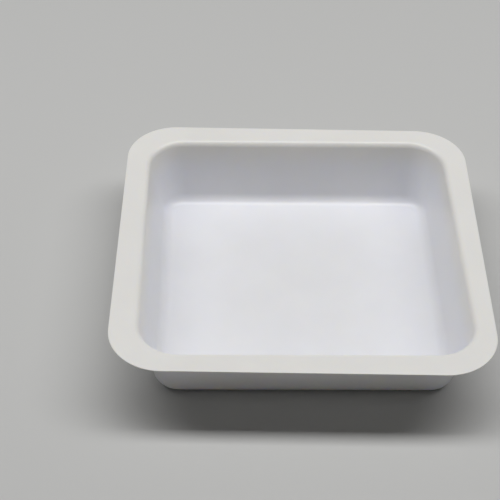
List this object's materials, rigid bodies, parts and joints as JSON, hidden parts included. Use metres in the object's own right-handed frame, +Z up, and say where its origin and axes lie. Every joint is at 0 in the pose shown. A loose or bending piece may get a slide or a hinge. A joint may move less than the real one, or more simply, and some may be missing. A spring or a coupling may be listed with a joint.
{
  "type": "weighing boat",
  "caption": "Square weighing boat: a shallow white plastic dish in one piece, with a flat rim, leaning walls, rounded corners and a flat floor.",
  "frame": {"origin": "centre of the floor's underside, on the surface that the dish stands on", "axes": "+Z up, out of the dish; X and Y along the straight sides, with the side at -Y towards the viewer"},
  "size_m": [0.14, 0.14, 0.0275],
  "materials": {
    "white_polystyrene": "satin white formed sheet, smooth, with a faint orange-peel"
  },
  "bodies": {
    "root": {"weighing_boat": "white_polystyrene"}
  },
  "joints": []
}
